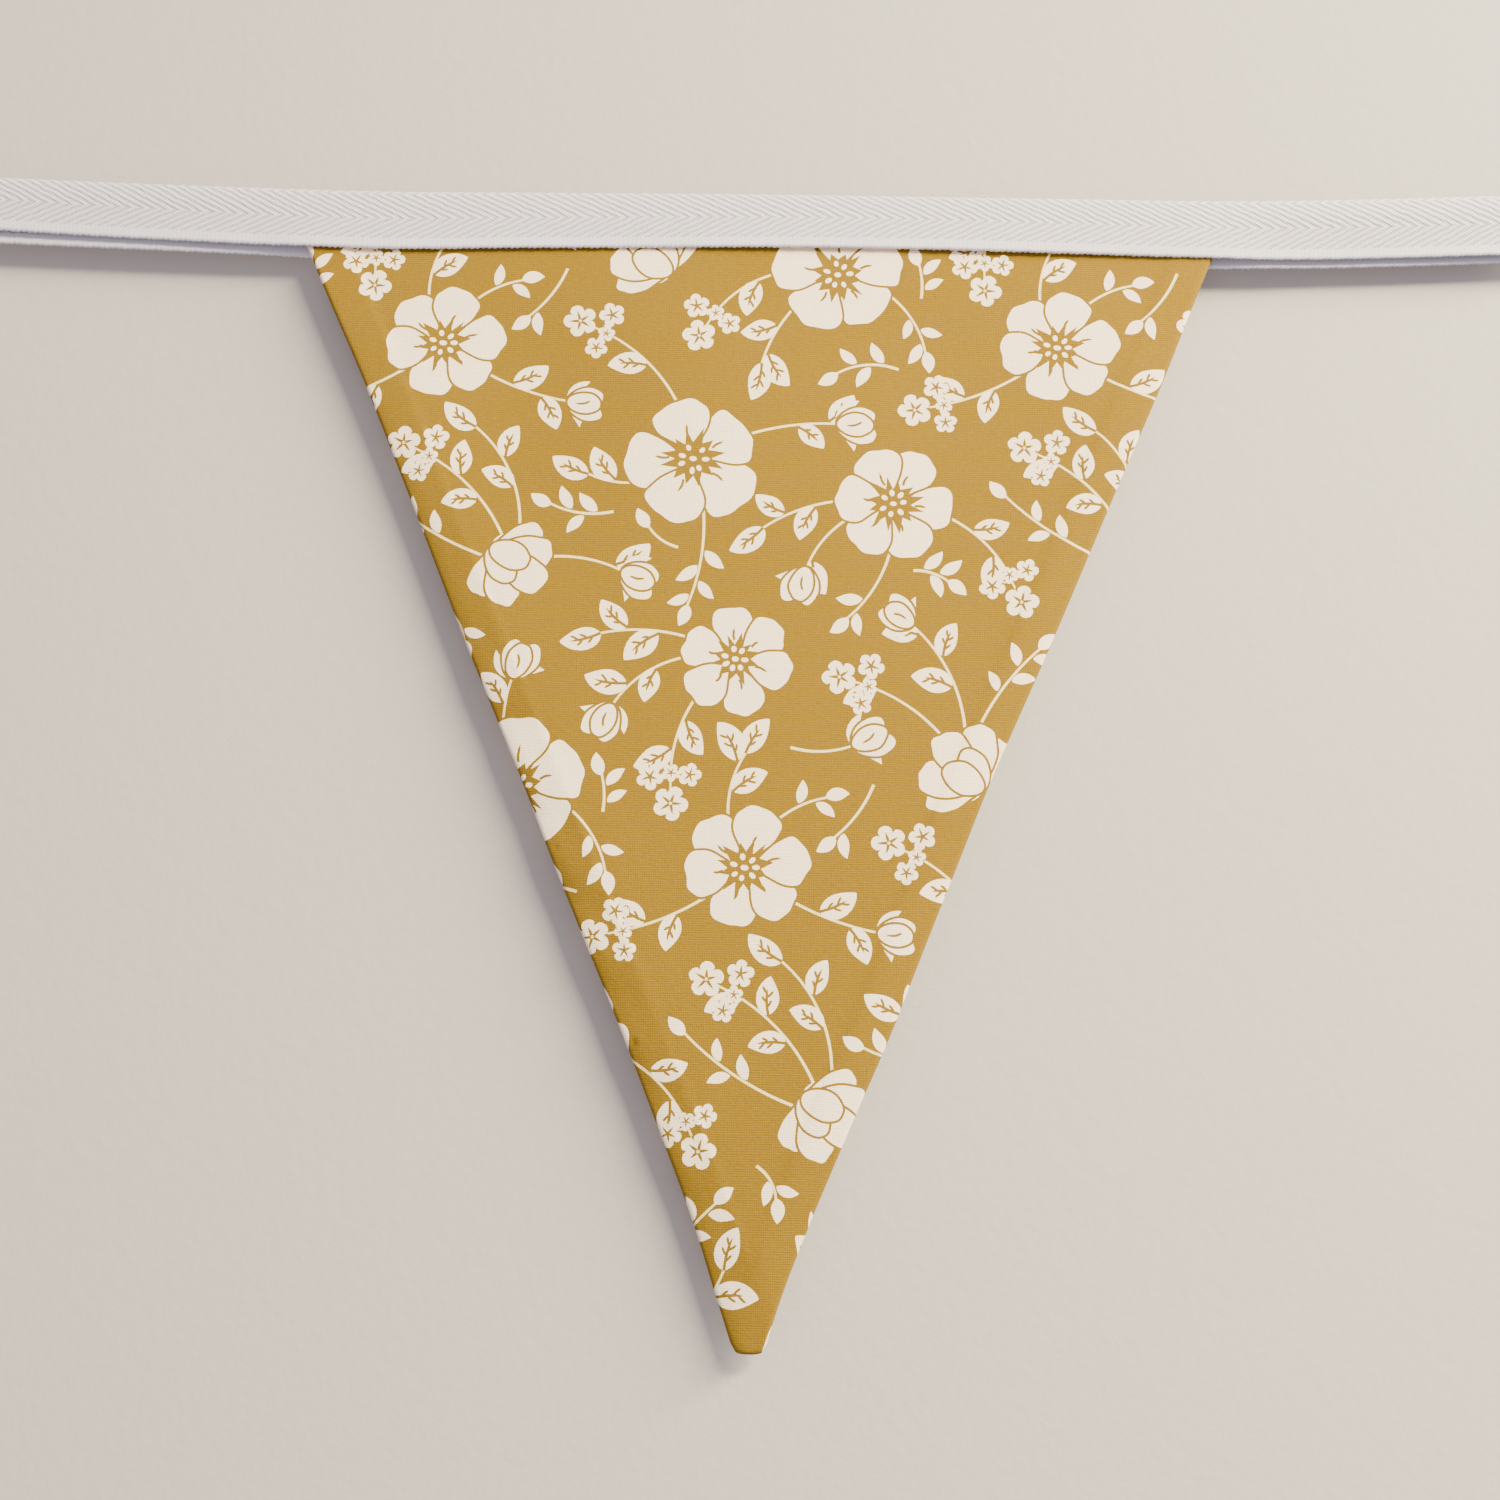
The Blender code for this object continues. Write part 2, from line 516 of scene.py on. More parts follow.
def side_flower(x, y, facing, size):
    foot = ray((x, y), facing, -0.5 * size)
    for turn in (-118, 118):
        draw_leaf((*foot, *ray(foot, facing + turn / 2.1, 0.62 * size), 2.2, 0.1), veins=False)
    for turn, length, width in FAN_PETALS:
        draw_petal(*foot, facing + turn + hand.uniform(-4, 4), length * size, width * size)
    for turn in (-19, 20):
        draw_petal(*foot, facing + turn + hand.uniform(-3, 3), 0.74 * size, 0.5 * size, "oval")


def draw_bud(x, y, facing, size):
    foot = ray((x, y), facing, -0.5 * size)
    for turn in (-56, 52):
        draw_leaf((*foot, *ray(foot, facing + turn, 0.85 * size), 0.3 * size, 0.12), veins=False)
    for turn, length, width in BUD_PETALS:
        draw_petal(*foot, facing + turn, length * size, width * size, "oval")
    crease = placed(((0.62, 0.16), (0.46, 0.0), (0.24, -0.05)), foot, facing, size, 0.6 * size)
    stroke(MUSTARD, crease, 0.42, steps=3, start=0.4, end=0.2)


# %% [markdown]
# ## Laying out the print
#
# A stem leaves at a heading and turns evenly. Leaves stand on it by turns, and it ends in a bud,
# a few florets or a leaf. Every motif that is laid takes its room as a circle, in every copy of
# the repeat, so the next one knows where there is space. The repeat is a half-drop: each row of
# it is stepped by half its width.

# %% Stems with leaves
ACROSS_REPEAT = (112.0, 0.0)
DOWN_REPEAT = (56.0, 96.0)
#   how far beyond one repeat the copies are kept in mind
MARGIN = 60
#   the radius of the room that each kind of end takes
END_ROOM = {"bud": 4.6, "florets": 6.2, "leaf": 3.6, "sprig": 2.2}
#   turn, reach, radius: a cluster of florets
CLUSTER = (
    (0, 4.4, 3.1),
    (100, 3.4, 2.1),
    (-95, 3.6, 2.4),
    (175, 1.0, 1.6),
)
STEM_WIDTH = 0.54
STEM_ROOM = 1.5
STEM_CLEAR = 1.8
taken = []


def take(x, y, radius):
    for i in range(-3, 4):
        for j in range(-2, 3):
            copy_x = x + i * ACROSS_REPEAT[0] + j * DOWN_REPEAT[0]
            copy_y = y + i * ACROSS_REPEAT[1] + j * DOWN_REPEAT[1]
            near_x = -MARGIN < copy_x < ACROSS_REPEAT[0] + MARGIN
            if near_x and -MARGIN < copy_y < DOWN_REPEAT[1] + MARGIN:
                taken.append((copy_x, copy_y, radius))


def is_clear(x, y, radius):
    return all(math.hypot(x - a, y - b) > radius + r for a, b, r in taken)


def draw_end(x, y, facing, kind):
    if kind == "bud":
        draw_bud(*ray((x, y), facing, 2.6), facing, hand.uniform(6.2, 7.4))
    elif kind == "florets":
        for turn, reach, radius in CLUSTER:
            end = ray((x, y), facing + turn, reach)
            draw_stem(0.4, [(x, y), ray((x, y), facing + turn, 0.5 * reach), end])
            draw_floret(*end, radius)
    else:
        size = 7.4 if kind == "leaf" else 4.2
        foot = ray((x, y), facing, -0.5)
        draw_leaf((*foot, *ray(foot, facing, size), 0.56 * size, 0.06), veins=kind == "leaf")


def grow(start, heading, length, turn, end, hidden):
    """Draws a stem with its leaves if there is room for it. hidden is its part under a flower."""
    steps = max(5, round(length / 2.8))
    line, place = [start], start
    for k in range(steps):
        place = ray(place, heading + turn * (k + 0.5) / steps, length / steps)
        line.append(place)
    shown = [p for p in line if math.hypot(p[0] - start[0], p[1] - start[1]) > hidden]
    middle = ray(line[-1], heading + turn, 0.5 * END_ROOM[end])
    if not is_clear(*middle, END_ROOM[end]):
        return False
    if not all(is_clear(*point, STEM_CLEAR) for point in shown[:-1]):
        return False
    draw_stem(STEM_WIDTH, line)
    side = hand.choice((-1, 1))
    fine = end == "sprig"
    for k, point in enumerate(line[1:-1]):
        if point not in shown or (not fine and k % 2):
            continue
        side = -side
        size = hand.uniform(3.8, 4.8) if fine else hand.uniform(6.0, 7.8)
        way = heading + turn * (k + 1) / steps + side * hand.uniform(44, 58)
        foot = ray(point, way, 0.7)
        tip = ray(foot, way, size)
        if is_clear(*tip, 0.5) and is_clear(*ray(foot, way, 0.6 * size), 1.0):
            draw_leaf((*foot, *tip, (0.46 if fine else 0.6) * size, -0.07 * side), veins=not fine)
            take(*ray(foot, way, 0.5 * size), 0.5 * size)
    draw_end(*line[-1], heading + turn, end)
    for point in shown:
        take(*point, STEM_ROOM)
    take(*middle, END_ROOM[end])
    return True


# %% [markdown]
# The big flowers are placed one by one, seven to a repeat, and face their own ways. Then each one
# grows a few stems, and shorter sprigs fill the room that is left, largest first.

# %% Draw one repeat
#   across, down, facing, size, kind
FLOWERS = (
    (14, 16, 20, 11.0, "open"),
    (54, 30, 70, 10.2, "open"),
    (92, 12, 130, 10.4, "side"),
    (24, 60, 55, 10.4, "open"),
    (68, 72, -40, 10.0, "side"),
    (100, 52, 35, 11.2, "open"),
    (108, 89, -20, 9.4, "open"),
)
#   end, tries for each flower: the stems that leave the flowers
FLOWER_STEMS = (
    ("bud", 50),
    ("florets", 40),
    ("leaf", 60),
    ("sprig", 60),
)
#   end, length, tries: the loose sprigs between them
LOOSE_SPRIGS = (
    ("bud", 12, 300),
    ("leaf", 11, 500),
    ("florets", 5, 300),
    ("sprig", 12, 900),
    ("sprig", 7, 900),
)


def draw_print():
    for x, y, _, size, _ in FLOWERS:
        take(x, y, size + 0.4)
    for end, tries in FLOWER_STEMS:
        for x, y, _, size, _ in FLOWERS:
            for _ in range(tries):
                way = hand.uniform(0, 360)
                turn = hand.choice((-1, 1)) * hand.uniform(30, 75)
                if grow((x, y), way, hand.uniform(20, 34), turn, end, size + 3):
                    break
    for end, length, tries in LOOSE_SPRIGS:
        for _ in range(tries):
            start = (hand.uniform(0, ACROSS_REPEAT[0]), hand.uniform(0, DOWN_REPEAT[1]))
            turn = hand.choice((-1, 1)) * hand.uniform(20, 60)
            grow(start, hand.uniform(0, 360), length, turn, end, -1.0)
    for x, y, facing, size, kind in FLOWERS:
        if kind == "open":
            open_flower(x, y, facing, size)
        else:
            side_flower(x, y, facing, size)


draw_print()
print(len(drawn), "outlines in one repeat of the print")

# %% [markdown]
# ## Two panels, sewn and turned through
#
# A grid could be bent into the panel, but the print's edges would have to be cut into it. So the
# flat panel is triangulated once, with its outline, the outline of each motif, and enough plain
# points to carry the waves, and a delaunay triangulation keeps every one of those lines as an
# edge. Each triangle then takes the ink of the topmost outline that covers it, and the whole
# sheet is laid on the hanging shape.
#
# At the sides and the tip the cloth rolls over by a quarter turn and meets the other panel in
# the seam, so the flat cloth is a little wider than the finished pennant. A strip of turned-in
# seam allowance makes it a touch thicker there.

# %% Lay out the flat panel
ROLL = 0.72
CLOTH = 0.25
SEAM_GAP = 0.03
PLAIN_STEP = 2.4
EDGE_HALF = 0.76
MIDDLE_HALF = 0.58
ALLOWANCE = 6.5
ROLL_EXCESS = ROLL * (math.pi / 2 - 1)
RINGS = (-ROLL_EXCESS, -0.22, 0.02, 0.25, 0.48, 0.74, 1.4, 2.6, 5.6, 6.6, 7.6)


def ring(gap):
    """The line that stays this far from the pennant's edge, from its left top to its right top."""
    steps = 110
    starts = []
    for i in range(steps + 1):
        down = PENNANT_TOP + (PENNANT_END - PENNANT_TOP) * i / steps
        starts.append((-half_width(down) + along(DRAWN_IN, down, 1), down))
    left_end = starts[-1][0]
    right_end = half_width(PENNANT_END) - along(DRAWN_IN, PENNANT_END, 2)
    for i in range(1, 8):
        starts.append((left_end + (right_end - left_end) * i / 8, PENNANT_END))
    for i in range(steps, -1, -1):
        down = PENNANT_TOP + (PENNANT_END - PENNANT_TOP) * i / steps
        starts.append((half_width(down) - along(DRAWN_IN, down, 2), down))
    line = []
    for point in starts:
        point = Vector(point)
        for _ in range(4):
            point += inward(*point) * (gap - edge_gap(*point))
        if point.y > PENNANT_TOP - 0.5 and (gap < 3 or min(side_gaps(*point)[:2]) > gap - 0.5):
            if not line or (point - Vector(line[-1])).length > 0.12:
                line.append(tuple(point))
    return line


def near_pennant(outline):
    return any(p[1] > PENNANT_TOP - 2 and edge_gap(*p) > -1.2 for p in outline)


def flat_panel():
    """The panel's triangles, their inks, and where their corners are on the flat cloth."""
    points, edges, faces, inks = [], [], [], []

    def add(outline):
        first = len(points)
        points.extend(Vector(point) for point in outline)
        return list(range(first, len(points)))

    def add_face(outline, ink):
        turns = sum(p[0] * q[1] - p[1] * q[0] for p, q in zip(outline, outline[1:] + outline[:1]))
        faces.append(add(outline if turns > 0 else outline[::-1]))
        inks.append(ink)

    border = ring(RINGS[0])
    top_left, top_right = border[0], border[-1]
    count = 60
    for i in range(1, count):
        t = i / count
        border.append(
            (
                top_right[0] + (top_left[0] - top_right[0]) * t,
                top_right[1] + (top_left[1] - top_right[1]) * t,
            )
        )
    add_face(border, MUSTARD)
    for gap in RINGS[1:]:
        ids = add(ring(gap))
        edges.extend(zip(ids, ids[1:]))
    for across_copies in range(-3, 3):
        for down_copies in range(-1, 4):
            move_x = across_copies * ACROSS_REPEAT[0] + down_copies * DOWN_REPEAT[0]
            move_y = across_copies * ACROSS_REPEAT[1] + down_copies * DOWN_REPEAT[1]
            for ink, outline in drawn:
                moved = [(x + move_x, y + move_y) for x, y in outline]
                if near_pennant(moved):
                    add_face(moved, ink)
    for row in range(int(PENNANT_END / PLAIN_STEP)):
        down = PENNANT_TOP + 1 + row * PLAIN_STEP
        for column in range(-40, 41):
            across = column * PLAIN_STEP + (row % 2) * PLAIN_STEP / 2
            if edge_gap(across, down) > 1.0:
                points.append(Vector((across, down)))
    laid = delaunay_2d_cdt(points, edges, faces, 0, 1e-4)
    corners, triangles, covers = laid[0], laid[2], laid[5]
    kept, colours = [], []
    for triangle, cover in zip(triangles, covers):
        if 0 in cover:
            kept.append(triangle)
            colours.append(inks[max(cover)])
    return corners, kept, colours


corners, triangles, triangle_inks = flat_panel()
print(len(triangles), "triangles in the flat panel")

# %% [markdown]
# A point of the flat cloth goes onto the hang by way of its gap to the edge. Inside the roll, the
# gap becomes an angle round the seam.

# %% Hang the panels
def cloth_point(across, down, side):
    """side is -1 for the front panel and 1 for the back one."""
    gap = edge_gap(across, down)
    half = EDGE_HALF + (MIDDLE_HALF - EDGE_HALF) * smooth_step(gap, ALLOWANCE, ALLOWANCE + 1.3)
    place = Vector((across, down))
    if gap < ROLL:
        turn = min((ROLL - gap) / ROLL, math.pi / 2)
        seen = ROLL * (1 - math.sin(turn))
        place += inward(across, down) * (seen - gap)
        half -= (half - SEAM_GAP) * (1 - math.cos(turn))
    back = hang(place.x, place.y) + side * half
    x = MIDDLE_OFFSET + place.x * math.cos(TILT) - place.y * math.sin(TILT)
    z = -place.y * math.cos(TILT) - place.x * math.sin(TILT)
    return Vector((x, back, z)) * MM


def finish_piece(name, bm, node, material):
    """Turns a bmesh into a piece of the object that stands for a solid."""
    mesh = bpy.data.meshes.new(name)
    bm.to_mesh(mesh)
    bm.free()
    mesh.shade_smooth()
    mesh.materials.append(material)
    piece = bpy.data.objects.new(name, mesh)
    bpy.context.scene.collection.objects.link(piece)
    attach(piece, "root")
    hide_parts(node)
    return piece


def thicken(piece, thickness, offset):
    shell = piece.modifiers.new("thickness of the cloth", "SOLIDIFY")
    shell.thickness = thickness * MM
    shell.offset = offset
    shell.use_quality_normals = True


def make_panel(name, side, node, material):
    bm = bmesh.new()
    ink_layer = bm.faces.layers.float.new("ink")
    uv_layer = bm.loops.layers.uv.new("cloth")
    verts = [bm.verts.new(cloth_point(*corner, side)) for corner in corners]
    for triangle, ink in zip(triangles, triangle_inks):
        order = triangle if side > 0 else triangle[::-1]
        face = bm.faces.new([verts[i] for i in order])
        face[ink_layer] = ink
        for loop, i in zip(face.loops, order):
            loop[uv_layer].uv = corners[i] * MM
    loose = [vert for vert in bm.verts if not vert.link_faces]
    bmesh.ops.delete(bm, geom=loose, context="VERTS")
    panel = finish_piece(name, bm, node, material)
    thicken(panel, CLOTH, -1.0)
    return panel


# %% [markdown]
# ## The herringbone tape
#
# The tape is one flat strip, folded along its length a little off the middle, so that the rear
# leaf hangs lower. Its path is drawn as a profile: up the front leaf, round the fold, down the
# rear leaf. The profile is swept along a table of places where the fold's height and the two
# leaves were measured. Over the pennant the leaves are held apart by the cloth between them, and
# beyond it they close up. The two selvedges have tiny loops where the weft turns round.

# %% Lay the tape
TAPE_LENGTH = 300.0
TAPE_WIDTH = 25.0
TAPE_CLOTH = 0.55
SELVEDGE = 1.9
LOOP_PITCH = 1.05
#   along, top, front, rear: the fold's height, and how far each leaf hangs below it
TAPE_RUN = (
    (-150, 3.8, 10.4, 12.5),
    (-110, 2.0, 11.1, 12.6),
    (-70, 0.6, 11.7, 12.7),
    (-40, 0.3, 11.3, 12.7),
    (0, 0.0, 10.9, 12.6),
    (30, -0.5, 10.8, 12.6),
    (60, -1.0, 11.2, 12.7),
    (90, -1.4, 11.6, 12.7),
    (120, -0.9, 11.6, 12.6),
    (150, 0.1, 11.7, 12.4),
)
#   down from the fold, half the gap between the leaves over the pennant, and away from it
LEAF_SPREAD = (
    (0.0, 1.15, 1.15),
    (2.0, 1.30, 1.22),
    (5.0, 1.25, 1.00),
    (9.0, 1.20, 0.75),
    (12.5, 1.22, 0.58),
)
RIGHT_LEAN = 0.7
ALONG_STEPS = 860
LEAF_STEPS_DOWN = 16
FOLD_STEPS = 10


def leaf_back(x, down, side):
    """How far back a leaf stands: side is -1 for the front one and 1 for the rear one."""
    share = smooth_step(abs(x - 2), 80, 95)
    over = along(LEAF_SPREAD, down, 1)
    away = along(LEAF_SPREAD, down, 2)
    leans = RIGHT_LEAN * smooth_step(x, 80, 110) * smooth_step(down, 1, 10)
    return side * (over + (away - over) * share) + leans


def tape_point(x, step):
    """A point of the tape's middle surface, and how far across the flat tape it is."""
    top = along(TAPE_RUN, x, 1)
    radius = LEAF_SPREAD[0][1]
    wave = 0.10 * math.sin(2 * math.pi * x / LOOP_PITCH) + 0.04 * math.sin(x * 1.7)
    bend = 0.18 * math.sin(x / 17.0) + 0.10 * math.sin(x / 7.3 + 1.0)
    front = along(TAPE_RUN, x, 2) - TAPE_CLOTH / 2 - radius
    rear = along(TAPE_RUN, x, 3) - TAPE_CLOTH / 2 - radius
    fold = math.pi * radius
    if step <= LEAF_STEPS_DOWN:
        share = step / LEAF_STEPS_DOWN
        down = (front + wave * (1 - share) ** 6) * (1 - share)
        back = leaf_back(x, down, -1) - bend * (down / front) ** 2 * 0.6
        return (x, back, top - TAPE_CLOTH / 2 - radius - down), front * share
    if step >= LEAF_STEPS_DOWN + FOLD_STEPS:
        share = (step - LEAF_STEPS_DOWN - FOLD_STEPS) / LEAF_STEPS_DOWN
        down = (rear - wave * share**6) * share
        back = leaf_back(x, down, 1) + bend * (down / rear) ** 2 * 0.5
        return (x, back, top - TAPE_CLOTH / 2 - radius - down), front + fold + rear * share
    turn = math.pi * (step - LEAF_STEPS_DOWN) / FOLD_STEPS
    place = (x, -radius * math.cos(turn), top - TAPE_CLOTH / 2 - radius + radius * math.sin(turn))
    return place, front + radius * turn


def make_tape(material):
    across_steps = 2 * LEAF_STEPS_DOWN + FOLD_STEPS
    bm = bmesh.new()
    bmesh.ops.create_grid(bm, x_segments=ALONG_STEPS, y_segments=across_steps, size=0.5)
    uv_layer = bm.loops.layers.uv.new("tape")
    flat = {}
    for vert in bm.verts:
        x = vert.co.x * TAPE_LENGTH
        step = round((vert.co.y + 0.5) * across_steps)
        place, across = tape_point(x, step)
        flat[vert] = (x * MM, across * MM)
        vert.co = Vector(place) * MM
    for face in bm.faces:
        for loop in face.loops:
            loop[uv_layer].uv = flat[loop.vert]
    bmesh.ops.recalc_face_normals(bm, faces=bm.faces[:])
    tape = finish_piece("header_tape_cloth", bm, "header_tape", material)
    thicken(tape, TAPE_CLOTH, 0.0)
    return tape


# %% [markdown]
# ## Materials
#
# Cotton is all about its thread. The printed cloth is a plain weave with thicker and thinner
# weft threads that show as fine level ribs, so a node group makes those from the flat cloth's
# own UV map: two sets of bands, each broken up by noise that is stretched along its threads. It
# gives a height for bump and a tone for colour, and both cloths use it with their own pitches.

# %% Node helpers and the plain weave group
def new_group(name, inputs, outputs):
    group = bpy.data.node_groups.new(name, "ShaderNodeTree")
    for label, kind, value in inputs:
        socket = group.interface.new_socket(label, in_out="INPUT", socket_type=kind)
        if value is not None:
            socket.default_value = value
    for label, kind in outputs:
        group.interface.new_socket(label, in_out="OUTPUT", socket_type=kind)
    start = group.nodes.new("NodeGroupInput")
    end = group.nodes.new("NodeGroupOutput")
    return group, start, end


def sums(tree, operation, first, second=None, third=None):
    """A Math node. Each value is a number or a socket."""
    node = tree.nodes.new("ShaderNodeMath")
    node.operation = operation
    for slot, value in enumerate((first, second, third)):
        if value is None:
            continue
        if isinstance(value, (int, float)):
            node.inputs[slot].default_value = value
        else:
            tree.links.new(value, node.inputs[slot])
    return node.outputs[0]


def noise(tree, vector, stretch, scale, detail=2.0, roughness=0.5):
    """Noise on a stretched copy of the vector, between 0 and 1."""
    mapping = tree.nodes.new("ShaderNodeMapping")
    mapping.inputs["Scale"].default_value = stretch
    tree.links.new(vector, mapping.inputs["Vector"])
    texture = tree.nodes.new("ShaderNodeTexNoise")
    texture.inputs["Scale"].default_value = scale
    texture.inputs["Detail"].default_value = detail
    texture.inputs["Roughness"].default_value = roughness
    tree.links.new(mapping.outputs[0], texture.inputs["Vector"])
    return texture.outputs[0]


def blend(tree, factor, first, second):
    """A colour between two. Each value is a number, a colour or a socket."""
    node = tree.nodes.new("ShaderNodeMix")
    node.data_type = "RGBA"
    for name, value in (("Factor_Float", factor), ("A_Color", first), ("B_Color", second)):
        socket = next(s for s in node.inputs if s.identifier == name)
        if isinstance(value, (int, float)):
            socket.default_value = value
        elif isinstance(value, tuple):
            socket.default_value = (*value, 1.0)
        else:
            tree.links.new(value, socket)
    return next(s for s in node.outputs if s.identifier == "Result_Color")


def plain_weave_group():
    group, start, end = new_group(
        "plain weave",
        (
            ("Flat", "NodeSocketVector", None),
            ("Weft pitch", "NodeSocketFloat", 0.0004),
            ("Warp pitch", "NodeSocketFloat", 0.0003),
        ),
        (("Height", "NodeSocketFloat"), ("Tone", "NodeSocketFloat")),
    )
    flat = start.outputs["Flat"]
    split = group.nodes.new("ShaderNodeSeparateXYZ")
    group.links.new(flat, split.inputs[0])
    across, down = split.outputs[0], split.outputs[1]
    drift = noise(group, flat, (60, 200, 1), 1.0, 2.0)
    weft_place = sums(group, "MULTIPLY_ADD", drift, 0.0003, down)
    weft_turns = sums(group, "DIVIDE", weft_place, start.outputs["Weft pitch"])
    weft = sums(group, "SINE", sums(group, "MULTIPLY", weft_turns, 2 * math.pi))
    warp_turns = sums(group, "DIVIDE", across, start.outputs["Warp pitch"])
    warp = sums(group, "SINE", sums(group, "MULTIPLY", warp_turns, 2 * math.pi))
    slubs = noise(group, flat, (800, 2900, 1), 1.0, 3.0, 0.65)
    fine = noise(group, flat, (2600, 1500, 1), 1.0, 2.0, 0.6)
    ribs = sums(group, "MULTIPLY_ADD", weft, 0.24, sums(group, "MULTIPLY", warp, 0.16))
    ribs = sums(group, "MULTIPLY", ribs, sums(group, "MULTIPLY_ADD", slubs, 1.2, 0.3))
    uneven = sums(group, "MULTIPLY_ADD", slubs, 1.5, sums(group, "MULTIPLY_ADD", fine, 0.9, -0.65))
    height = sums(group, "ADD", ribs, uneven)
    tone = sums(group, "MULTIPLY_ADD", height, 0.75, 0.1)
    group.links.new(height, end.inputs["Height"])
    group.links.new(tone, end.inputs["Tone"])
    return group


PLAIN_WEAVE = plain_weave_group()


def new_material(name, roughness, sheen):
    material = bpy.data.materials.new(name)
    material.use_nodes = True
    shader = material.node_tree.nodes["Principled BSDF"]
    shader.inputs["Roughness"].default_value = roughness
    shader.inputs["Sheen Weight"].default_value = sheen
    shader.inputs["Sheen Roughness"].default_value = 0.5
    shader.inputs["Specular IOR Level"].default_value = 0.12
    return material, material.node_tree, shader


def own_uv(tree, name):
    node = tree.nodes.new("ShaderNodeUVMap")
    node.uv_map = name
    return node.outputs[0]


def add_bump(tree, shader, height, distance, strength=1.0):
    bump = tree.nodes.new("ShaderNodeBump")
    bump.inputs["Strength"].default_value = strength
    bump.inputs["Distance"].default_value = distance
    tree.links.new(height, bump.inputs["Height"])
    tree.links.new(bump.outputs[0], shader.inputs["Normal"])


# %% [markdown]
# The printed cotton reads each triangle's ink. Its colour is darker where the weave's height is
# low, so the ribs and slubs show most in the mustard. White areas show them faintly. A slow
# mottling keeps large areas from looking flat.

# %% Printed cotton
MUSTARD_DYE = (0.250, 0.1425, 0.0085)
MUSTARD_DEEP = (0.160, 0.086, 0.0045)
WHITE_COTTON = (0.97, 0.765, 0.53)
CREAM_INK = (0.84, 0.66, 0.30)
PALE_SHADE = (0.60, 0.44, 0.22)
WEFT_PITCH = 0.00040
WARP_PITCH = 0.00031


def printed_cotton(name):
    material, tree, shader = new_material(name, 0.85, 0.03)
    flat = own_uv(tree, "cloth")
    weave = tree.nodes.new("ShaderNodeGroup")
    weave.node_tree = PLAIN_WEAVE
    tree.links.new(flat, weave.inputs["Flat"])
    weave.inputs["Weft pitch"].default_value = WEFT_PITCH
    weave.inputs["Warp pitch"].default_value = WARP_PITCH
    ink = tree.nodes.new("ShaderNodeAttribute")
    ink.attribute_name = "ink"
    is_white = sums(tree, "GREATER_THAN", ink.outputs["Fac"], 0.75)
    is_ink = sums(tree, "GREATER_THAN", ink.outputs["Fac"], 0.25)
    tone = weave.outputs["Tone"]
    mottle = noise(tree, flat, (1, 1, 1), 90.0, 3.0)
    ground = blend(tree, tone, MUSTARD_DEEP, MUSTARD_DYE)
    ground = blend(tree, sums(tree, "MULTIPLY", mottle, 0.15), ground, MUSTARD_DEEP)
    pale = blend(tree, is_white, CREAM_INK, WHITE_COTTON)
    thread = sums(tree, "MULTIPLY_ADD", tone, -0.14, 0.12)
    pale = blend(tree, thread, pale, PALE_SHADE)
    colour = blend(tree, is_ink, ground, pale)
    tree.links.new(colour, shader.inputs["Base Color"])
    add_bump(tree, shader, weave.outputs["Height"], 0.00005)
    return material


printed_front = printed_cotton("printed cotton, front panel")
printed_back = printed_cotton("printed cotton, back panel")
front = make_panel(
    "pennant_front_cloth", -1, "pennant_front", printed_front
)
back = make_panel("pennant_back_cloth", 1, "pennant_back", printed_back)
print("each panel:", len(front.data.polygons), "triangles before its thickness")

# %% [markdown]
# Herringbone is a twill that changes direction from zone to zone, so its ribs make chevrons. The
# ribs are bands of a wave whose phase is the distance along the tape plus a zigzag of the
# distance across it. Each rib is broken into the separate threads that cross it. The selvedges
# are plain. The white cotton's colour follows that height, with painted shade in the grooves and
# painted light on the crests, besides the bump.

# %% Herringbone cotton tape
FIRST_ZONE = 3.8
ZONE = 4.8
RIB_PITCH = 2.2
RIB_RUN = 2.0
THREAD_PITCH = 0.62
CROSS_PITCH = 0.8
FAR_SELVEDGE = 3.1
# The tape's white cotton twice: shaded for the grooves between the ribs and lit for their crests,
# a painted shade and a painted light.
TAPE_SHADED_GROOVE = (0.37, 0.328, 0.342)
TAPE_LIT_CREST = (0.70, 0.640, 0.655)


